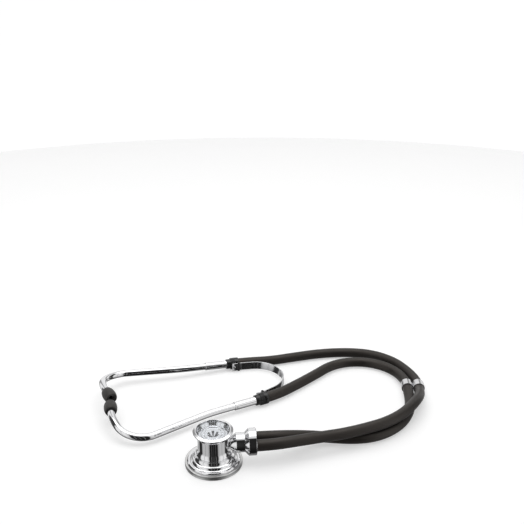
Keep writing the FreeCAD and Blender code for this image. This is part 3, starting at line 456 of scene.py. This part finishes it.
# ---------------------------------------------------------------- tubes
def route_line(name, route):
    """The points of the smooth line that a route's control points give."""
    curve = bpy.data.curves.new(name, "CURVE")
    curve.dimensions = "3D"
    spline = curve.splines.new("NURBS")
    spline.points.add(len(route) - 1)
    for point, place in zip(spline.points, route):
        point.co = (*metres(place), 1)
    spline.order_u = 3
    spline.use_endpoint_u = True
    spline.resolution_u = 12
    guide = bpy.data.objects.new(name, curve)
    scene.collection.objects.link(guide)
    bpy.context.view_layer.update()
    mesh = bpy.data.meshes.new_from_object(guide)
    line = [v.co.copy() for v in mesh.vertices]
    bpy.data.objects.remove(guide)
    bpy.data.curves.remove(curve)
    bpy.data.meshes.remove(mesh)
    return line


def tube_section(last):
    """Round section whose first and last rings draw in, for a slightly broken edge."""
    def section(i):
        radius = TUBE_RADIUS - (TUBE_EDGE if i in (0, last) else 0)
        return [(radius * MM * math.cos(2 * math.pi * k / TUBE_SIDES),
                 radius * MM * math.sin(2 * math.pi * k / TUBE_SIDES))
                for k in range(TUBE_SIDES)]
    return section


def with_edges(line):
    """The line with one more point near each end, where the tube's edge is broken."""
    first = line[0] + (line[1] - line[0]).normalized() * TUBE_EDGE * MM
    last = line[-1] + (line[-2] - line[-1]).normalized() * TUBE_EDGE * MM
    return [line[0], first, *line[1:-1], last, line[-1]]


def rubber_tube(name, route, material):
    """A tube swept along its route from the stem to the arm; it is not attached to either body.
    """
    line = route_line(name + "_line", route)
    path = with_edges(line)
    mesh = swept(name + "_skin", path, tube_section(len(path) - 1))
    tube = new_object(name + "_skin", mesh, material, None, (name,))
    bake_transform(tube)
    return tube


# ---------------------------------------------------------------- headset
class Arm:
    """One side of the headset: its axis starts at the tube's end face and runs to the ear."""

    def __init__(self, name, side, route, swivel_deg, reach):
        self.name = name
        self.side = side                       # +1 for the right arm, -1 for the left
        self.start = Vector(route[-1])
        self.axis = (self.start - Vector(route[-2])).normalized()
        self.inward = UP.cross(self.axis).normalized() * -side
        self.swivel_deg = swivel_deg
        self.reach = reach
        self.place = frame_at(metres(self.start), self.axis)


LEFT = Arm("left", -1, LEFT_ROUTE, LEFT_SWIVEL_DEG, LEFT_EAR_TUBE_REACH)
RIGHT = Arm("right", 1, RIGHT_ROUTE, RIGHT_SWIVEL_DEG, RIGHT_EAR_TUBE_REACH)


def level(vector):
    """The vector without its height."""
    return Vector((vector.x, vector.y, 0))


def leaf_half_line(arm):
    """The leaf's middle line from the bow's top, down one leg and along the arm, in metres."""
    axis = UP.cross(level(RIGHT.start - LEFT.start)).normalized()
    away = UP.cross(axis) * -arm.side
    ahead = level(arm.axis).normalized()
    slope = math.radians(LEAF_LEG_DEG)
    beside = level(arm.start) + arm.inward * (LEAF_FACE_DISTANCE + LEAF_THICKNESS / 2)
    end = beside + ahead * LEAF_REACH
    bend = beside + ahead * LEAF_BEND_PLACE
    middle = level(LEFT.start + RIGHT.start) * 0.5
    to_bend = bend - middle
    reach = (to_bend.dot(away) - LEAF_BOW_RADIUS / math.cos(slope)) / math.tan(slope)
    centre = middle + axis * (to_bend.dot(axis) + reach)
    line = []
    for step in range(LEAF_STEPS + 1):
        angle = (math.pi / 2 - slope) * step / LEAF_STEPS
        spoke = axis * math.cos(angle) + away * math.sin(angle)
        line.append(centre + spoke * LEAF_BOW_RADIUS)
    leg_way = (bend - line[-1]).normalized()
    leg_top = line[-1]
    leg_end = bend - leg_way * LEAF_BEND_EASE
    leg_steps = LEAF_STEPS // 2
    line += [leg_top.lerp(leg_end, (k + 1) / leg_steps) for k in range(leg_steps)]
    line += [Vector(p) for p in curved(leg_end, bend, bend + ahead * LEAF_BEND_EASE, 6)]
    line.append(end)
    return [(p + UP * LEAF_CENTRE_HEIGHT) * MM for p in line]


def strip_section(_):
    """Rounded rectangle, the same all along: thin across the strip, tall upwards."""
    half = LEAF_THICKNESS / 2 * MM
    tall = LEAF_HEIGHT / 2 * MM
    edge = LEAF_EDGE * MM
    corner = []
    for sign_a, sign_b, turn in ((1, 1, 0), (-1, 1, 90), (-1, -1, 180), (1, -1, 270)):
        for step in range(4):
            angle = math.radians(turn + 30 * step)
            corner.append((sign_a * (half - edge) + edge * math.cos(angle),
                           sign_b * (tall - edge) + edge * math.sin(angle)))
    return corner


def leaf_half(arm, material):
    line = leaf_half_line(arm)
    name = "leaf_" + arm.name + "_half"
    mesh = swept(name, line, strip_section)
    half = new_object(name, mesh, material, None, ("leaf_spring",))
    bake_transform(half)
    return half


def bent(here, heading, normal, angle_deg, radius):
    """Where an arc ends that starts at a point, and the way it then heads."""
    hand = math.copysign(1, angle_deg)
    centre = here + normal.cross(heading) * (hand * radius)
    turn = Matrix.Rotation(math.radians(angle_deg), 3, normal)
    return centre + turn @ (here - centre), turn @ heading


def tip_place(arm):
    """The ear tip's frame: its origin is where the ear tube's last straight part begins."""
    heading = arm.axis
    normal = heading.cross(UP.cross(heading)).normalized()
    normal = Matrix.Rotation(math.radians(arm.side * arm.swivel_deg), 3, heading) @ normal
    here = arm.start + heading * (SLEEVE_LENGTH + EAR_TUBE_STRAIGHT)
    here, heading = bent(here, heading, normal, arm.side * EAR_TUBE_SPLAY_DEG,
                         EAR_TUBE_SPLAY_RADIUS)
    here = here + heading * arm.reach
    here, heading = bent(here, heading, normal, -arm.side * EAR_BEND_DEG, EAR_BEND_RADIUS)
    normal = Matrix.Rotation(math.radians(arm.side * EAR_TWIST_DEG), 3, heading) @ normal
    here, heading = bent(here, heading, normal, -arm.side * EAR_TURN_IN_DEG,
                         EAR_TURN_IN_RADIUS)
    return frame_at(metres(here), heading)


def ear_tip(arm, material):
    """Soft barrel with a hollow skirt, a rolled end and a funnel into the sound hole."""
    outside = [(TIP_SKIRT_RADIUS - 0.45, 0.35), (TIP_SKIRT_RADIUS - 0.1, 0.45)]
    outside += curved((TIP_SKIRT_RADIUS, 0.8), (TIP_RADIUS, TIP_SWELL_HEIGHT),
                      (TIP_RADIUS, TIP_WIDEST_HEIGHT), 10)
    outside += curved((TIP_RADIUS, TIP_WIDEST_HEIGHT), (TIP_RADIUS, TIP_TAPER_HEIGHT),
                      (TIP_END_RADIUS, TIP_LENGTH - TIP_ROLL_HEIGHT), 10)
    outside += curved((TIP_END_RADIUS, TIP_LENGTH - TIP_ROLL_HEIGHT),
                      (TIP_END_RADIUS - 0.3, TIP_LENGTH),
                      (TIP_END_RADIUS - TIP_ROLL_WIDTH, TIP_LENGTH), 4)
    funnel = curved((TIP_END_RADIUS - TIP_ROLL_WIDTH, TIP_LENGTH),
                    (TIP_FUNNEL_RADIUS, TIP_LENGTH - 0.1),
                    (TIP_FUNNEL_RADIUS - 0.5, TIP_LENGTH - 1.0), 6)
    funnel += [(TIP_SOUND_HOLE_RADIUS, TIP_LENGTH - TIP_FUNNEL_DEPTH),
               (TIP_SOUND_HOLE_RADIUS, TIP_SEAT), (TIP_BORE_RADIUS, TIP_SEAT),
               (TIP_BORE_RADIUS, TIP_SKIRT_DEPTH), (TIP_SKIRT_RADIUS - TIP_SKIRT_WALL, 1.6),
               (TIP_SKIRT_RADIUS - 0.75, 0.7)]
    mesh = lathe(arm.name + "_ear_tip_soft", outside + funnel, tip_place(arm), sides=64)
    return new_object(arm.name + "_ear_tip_soft", mesh, material, arm.name + "_ear",
                      (arm.name + "_ear_tip",))


def ribbed_collar(arm, material):
    """Moulded collar: a boot over the tube's end, ribs, a narrow nose and the keeper's loop."""
    boot_end = -COLLAR_BOOT_LENGTH
    profile = [(COLLAR_BOOT_BORE, boot_end), (COLLAR_RADIUS - COLLAR_EDGE, boot_end)]
    profile += curved((COLLAR_RADIUS - COLLAR_EDGE, boot_end), (COLLAR_RADIUS, boot_end),
                      (COLLAR_RADIUS, boot_end + COLLAR_EDGE), 4)
    for groove in range(GROOVE_COUNT):
        foot = BAND_WIDTH + groove
        profile += [(COLLAR_RADIUS - deep, foot + along) for deep, along in GROOVE]
    profile += curved((COLLAR_RADIUS, COLLAR_SHOULDER - 0.5), (COLLAR_RADIUS, COLLAR_SHOULDER),
                      (COLLAR_RADIUS - COLLAR_EDGE, COLLAR_SHOULDER), 4)
    profile += curved((COLLAR_RADIUS - COLLAR_EDGE, COLLAR_SHOULDER),
                      (COLLAR_NOSE_RADIUS, COLLAR_SHOULDER),
                      (COLLAR_NOSE_RADIUS, COLLAR_SHOULDER + COLLAR_EDGE), 4)
    profile += curved((COLLAR_NOSE_RADIUS, COLLAR_NOSE_END - COLLAR_NOSE_EDGE),
                      (COLLAR_NOSE_RADIUS, COLLAR_NOSE_END),
                      (COLLAR_NOSE_RADIUS - COLLAR_NOSE_EDGE, COLLAR_NOSE_END), 5)
    profile += [(COLLAR_BORE, COLLAR_NOSE_END), (COLLAR_BORE, BAND_WIDTH),
                (COLLAR_BOOT_BORE, BAND_WIDTH)]
    mesh = lathe(arm.name + "_collar_ribbed", profile, arm.place, sides=96)
    start = metres(arm.start)
    for vertex in mesh.vertices:
        away = vertex.co - start
        beyond = away.dot(arm.inward) - COLLAR_FLAT * MM
        if beyond > 0 and away.dot(arm.axis) < COLLAR_SHOULDER * MM:
            vertex.co -= arm.inward * beyond
    add_keeper(arm, mesh)
    return new_object(arm.name + "_collar_ribbed", mesh, material, arm.name + "_arm",
                      (arm.name + "_collar",))


def add_keeper(arm, mesh):
    """Adds the loop that the leaf spring passes through: a rounded band round the strip."""
    along = level(arm.axis).normalized()
    middle = metres(level(arm.start) + UP * LEAF_CENTRE_HEIGHT)
    near = LEAF_FACE_DISTANCE - KEEPER_ROOT
    far = LEAF_FACE_DISTANCE + LEAF_THICKNESS + KEEPER_PLAY
    tall = LEAF_HEIGHT / 2 + KEEPER_PLAY
    inside = [(near, -tall), (far, -tall), (far, tall), (near, tall)]
    reach = far + KEEPER_WALL
    top = tall + KEEPER_WALL
    edge = KEEPER_EDGE
    outside = [(near, -top)]
    outside += curved((reach - edge, -top), (reach, -top), (reach, -top + edge), 4)
    outside += curved((reach, top - edge), (reach, top), (reach - edge, top), 4)
    outside += [(near, top)]
    outline = outside + inside[::-1]
    work = bmesh.new()
    work.from_mesh(mesh)
    rings = []
    for place in (-COLLAR_BOOT_LENGTH, -COLLAR_BOOT_LENGTH + KEEPER_LENGTH):
        base = middle + along * (place * MM)
        rings.append([work.verts.new(base + (arm.inward * a + UP * b) * MM)
                      for a, b in outline])
    count = len(outline)
    for k in range(count):
        n = (k + 1) % count
        work.faces.new((rings[0][k], rings[0][n], rings[1][n], rings[1][k]))
    caps = [work.faces.new(ring) for ring in rings]
    bmesh.ops.triangulate(work, faces=caps)
    bmesh.ops.recalc_face_normals(work, faces=work.faces)
    work.to_mesh(mesh)
    work.free()


# ---------------------------------------------------------------- chestpiece
def knurled_ring(material):
    """The large ring, with a fine straight knurl round its side between two plain edges."""
    top = LARGE_RING_HEIGHT
    outer = LARGE_RING_RADIUS
    profile = [(LARGE_LIP_RADIUS, LARGE_LIP_EDGE), (LARGE_LIP_RADIUS + LARGE_LIP_EDGE, 0)]
    profile += curved((outer - LARGE_LOWER_EDGE, 0), (outer, 0), (outer, LARGE_LOWER_EDGE), 5)
    profile += [(outer, PLAIN_EDGE), (outer, KNURL_START), (outer, top - KNURL_START),
                (outer, top - PLAIN_EDGE)]
    profile += curved((outer, top - LARGE_UPPER_EDGE), (outer, top),
                      (outer - LARGE_UPPER_EDGE, top), 5)
    profile += [(LARGE_RING_BORE + LARGE_BORE_EDGE, top)]
    profile += curved((LARGE_RING_BORE + LARGE_BORE_EDGE, top), (LARGE_RING_BORE, top),
                      (LARGE_RING_BORE, top - LARGE_BORE_EDGE), 4)
    profile += [(LARGE_RING_BORE, LARGE_LIP_THICKNESS), (LARGE_LIP_RADIUS, LARGE_LIP_THICKNESS)]

    def knurl(angle, radius, height):
        if radius < outer or not KNURL_LIMIT < height < top - KNURL_LIMIT:
            return radius
        return radius - KNURL_DEPTH * (0.5 - 0.5 * math.cos(KNURL_COUNT * angle))

    mesh = lathe("large_ring_knurled", profile, sides=KNURL_COUNT * 4, wobble=knurl)
    return new_object("large_ring_knurled", mesh, material, "chestpiece",
                      ("large_retaining_ring",))


# ---------------------------------------------------------------- looks of the CAD nodes
def give(material, *names):
    for name in names:
        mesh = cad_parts[name].data
        mesh.materials.clear()
        mesh.materials.append(material)


def dress_nodes(looks):
    give(looks["chrome"], "chestpiece_hub", "large_drum", "small_drum", "small_retaining_ring",
         "stem_spindle", "stem_manifold", "left_hose_barb", "right_hose_barb")
    give(looks["tube_chrome"], "left_sleeve", "right_sleeve", "left_ear_tube", "right_ear_tube")
    give(looks["satin"], "large_retaining_ring")
    give(looks["spring"], "left_spring_band", "right_spring_band", "left_spring_rivet",
         "right_spring_rivet", "tube_clip", "leaf_spring")
    give(looks["tool"], "detent_ball", "detent_spring", "detent_screw", "retaining_screw",
         "left_swivel_pin", "right_swivel_pin")
    give(looks["seal"], "spindle_seals", "large_gasket", "small_gasket")
    give(looks["collar"], "left_collar", "right_collar")
    give(looks["tip"], "left_ear_tip", "right_ear_tip")
    give(looks["ferrule"], "left_tip_ferrule", "right_tip_ferrule")
    give(looks["film"], "small_diaphragm")
    give(looks["resin"], "large_diaphragm")
    give(looks["rubber"], "left_tube", "right_tube")


# ---------------------------------------------------------------- studio
# brightness of the room's walls, from the viewer's side (0) round to the far side (1)
WALL_STOPS = ((0.0, 0.10), (0.02, 0.02), (0.07, 0.02), (0.08, 0.30), (0.09, 0.02), (0.16, 0.02),
              (0.18, 0.60), (0.25, 0.95), (0.33, 0.95), (0.35, 0.55), (0.37, 0.95), (0.48, 0.95),
              (0.52, 0.05), (0.68, 0.05), (0.71, 0.95), (0.79, 0.95), (0.82, 0.35),
              (0.87, 0.35), (0.90, 0.95), (1.0, 0.95))
CEILING = 0.80
TABLE_LOW = 0.30              # how bright the lower walls are straight below, as a share
ROOM_STRENGTH = 1.0
# heights of a direction, from -1 straight down to 1 straight up, between which one part of the
# room turns into the next
CEILING_FADE = (0.84, 0.90)
TABLE_FADE = (-0.9, -0.15)
HORIZON_FADE = (-0.03, 0.0)
FLOOR_HALF = 3.0
FLOOR_GLOW = 0.48
LAMP_PLACE = (0.05, 0.25, 1.1)
LAMP_TARGET = (0.05, 0.06, 0)
LAMP_SIZE = (1.4, 0.9)
LAMP_WATTS = 6.0
BACKDROP_RADIUS = 1.15
BACKDROP_CENTRE = (0.05, 0.07, 0)


def floor():
    """The pale paper that the object lies on."""
    half = FLOOR_HALF
    mesh = mesh_from("floor", [(-half, -half, 0), (half, -half, 0), (half, half, 0),
                               (-half, half, 0)], [(0, 1, 2, 3)])
    obj = bpy.data.objects.new("floor", mesh)
    scene.collection.objects.link(obj)
    shader = Shader("floor_paper").set(Roughness=0.9)
    grain = shader.noise(30, detail=3)
    shader.feed("Base Color", shader.colours(grain, (0.58, 0.58, 0.58), (0.60, 0.60, 0.60)))
    shader.set(Emission_Color=(1, 1, 1, 1), Emission_Strength=FLOOR_GLOW)
    obj.data.materials.append(shader.material)
    obj.visible_glossy = False


def surroundings():
    """World light: a white room with a dark gap where the viewer stands."""
    world = bpy.data.worlds.new("studio")
    scene.world = world
    world.use_nodes = True
    tree = world.node_tree
    tree.nodes.clear()

    def node(kind, *inputs, operation=None):
        made = tree.nodes.new(kind)
        if operation:
            made.operation = operation
        for k, value in enumerate(inputs):
            if isinstance(value, bpy.types.NodeSocket):
                tree.links.new(value, made.inputs[k])
            elif value is not None:
                made.inputs[k].default_value = value
        return made

    direction = tree.nodes.new("ShaderNodeTexCoord").outputs["Generated"]
    split = node("ShaderNodeSeparateXYZ", direction)
    x, y, z = (split.outputs[k] for k in "XYZ")
    back = node("ShaderNodeMath", y, -1.0, operation="MULTIPLY").outputs[0]
    azimuth = node("ShaderNodeMath", x, back, operation="ARCTAN2").outputs[0]
    spread = node("ShaderNodeMath", azimuth, operation="ABSOLUTE").outputs[0]
    share = node("ShaderNodeMath", spread, math.pi, operation="DIVIDE").outputs[0]
    around = tree.nodes.new("ShaderNodeValToRGB")
    tree.links.new(share, around.inputs[0])
    stops = around.color_ramp
    stops.elements[0].position = WALL_STOPS[0][0]
    stops.elements[1].position = WALL_STOPS[-1][0]
    for place, value in WALL_STOPS[1:-1]:
        stops.elements.new(place)
    for stop, (place, value) in zip(stops.elements, WALL_STOPS):
        stop.color = (value, value, value, 1)

    def between(value, low, high, low_value, high_value):
        made = tree.nodes.new("ShaderNodeMapRange")
        for name, given in (("Value", value), ("From Min", low), ("From Max", high),
                            ("To Min", low_value), ("To Max", high_value)):
            if isinstance(given, bpy.types.NodeSocket):
                tree.links.new(given, made.inputs[name])
            else:
                made.inputs[name].default_value = given
        return made.outputs["Result"]

    walls = between(z, *CEILING_FADE, around.outputs["Color"], CEILING)
    table = between(z, *TABLE_FADE, TABLE_LOW, 1.0)
    below = node("ShaderNodeMath", around.outputs["Color"], table,
                 operation="MULTIPLY").outputs[0]
    room = between(z, *HORIZON_FADE, below, walls)
    background = node("ShaderNodeBackground", None, ROOM_STRENGTH)
    tree.links.new(room, background.inputs[0])
    output = tree.nodes.new("ShaderNodeOutputWorld")
    tree.links.new(background.outputs[0], output.inputs[0])


def backdrop():
    """A pale dome that only the camera sees, so that every view has a clean background."""
    mesh = bpy.data.meshes.new("backdrop")
    work = bmesh.new()
    bmesh.ops.create_uvsphere(work, u_segments=48, v_segments=24, radius=BACKDROP_RADIUS)
    bmesh.ops.translate(work, verts=work.verts, vec=BACKDROP_CENTRE)
    work.to_mesh(mesh)
    work.free()
    obj = bpy.data.objects.new("backdrop", mesh)
    scene.collection.objects.link(obj)
    material = bpy.data.materials.new("backdrop")
    material.use_nodes = True
    surface = material.node_tree.nodes["Principled BSDF"]
    surface.inputs["Base Color"].default_value = (0, 0, 0, 1)
    surface.inputs["Emission Color"].default_value = (1, 1, 1, 1)
    surface.inputs["Emission Strength"].default_value = 1.0
    mesh.materials.append(material)
    obj.visible_diffuse = False
    obj.visible_glossy = False
    obj.visible_transmission = False
    obj.visible_shadow = False


def lamp(name, place, target, size, power):
    light = bpy.data.lights.new(name, "AREA")
    light.shape = "RECTANGLE"
    light.size, light.size_y = size
    light.energy = power
    obj = bpy.data.objects.new(name, light)
    obj.location = place
    way = Vector(target) - Vector(place)
    obj.rotation_euler = way.to_track_quat("-Z", "Y").to_euler()
    scene.collection.objects.link(obj)


def studio():
    floor()
    surroundings()
    backdrop()
    lamp("overhead", LAMP_PLACE, LAMP_TARGET, LAMP_SIZE, LAMP_WATTS)
    scene.view_settings.view_transform = "Standard"


def camera():
    data = bpy.data.cameras.new("camera")
    data.sensor_width = SENSOR_MM
    data.lens = SENSOR_MM * FOCAL_IN_PICTURE_WIDTHS
    data.clip_start = 0.01
    data.clip_end = 200
    obj = bpy.data.objects.new("camera", data)
    obj.location = CAMERA_PLACE
    obj.rotation_euler = (math.radians(CAMERA_TILT_DEG), 0, math.radians(CAMERA_TURN_DEG))
    scene.collection.objects.link(obj)
    scene.camera = obj


# ---------------------------------------------------------------- build
def build():
    camera()
    studio()
    looks = {
        "chrome": chrome("polished_chrome", low=0.03, high=0.09),
        "tube_chrome": chrome("tube_chrome", low=0.04, high=0.10),
        "satin": satin_steel(),
        "spring": spring_steel(),
        "tool": tool_steel(),
        "rubber": tube_rubber(),
        "seal": seal_rubber(),
        "collar": collar_plastic(),
        "tip": tip_rubber(),
        "ferrule": ferrule_plastic(),
        "film": clear_film(),
        "resin": resin_disc(),
    }
    dress_nodes(looks)
    rubber_tube("left_tube", LEFT_ROUTE, looks["rubber"])
    rubber_tube("right_tube", RIGHT_ROUTE, looks["rubber"])
    for arm in (LEFT, RIGHT):
        leaf_half(arm, looks["spring"])
        ribbed_collar(arm, looks["collar"])
        ear_tip(arm, looks["tip"])
    knurled_ring(looks["satin"])


build()
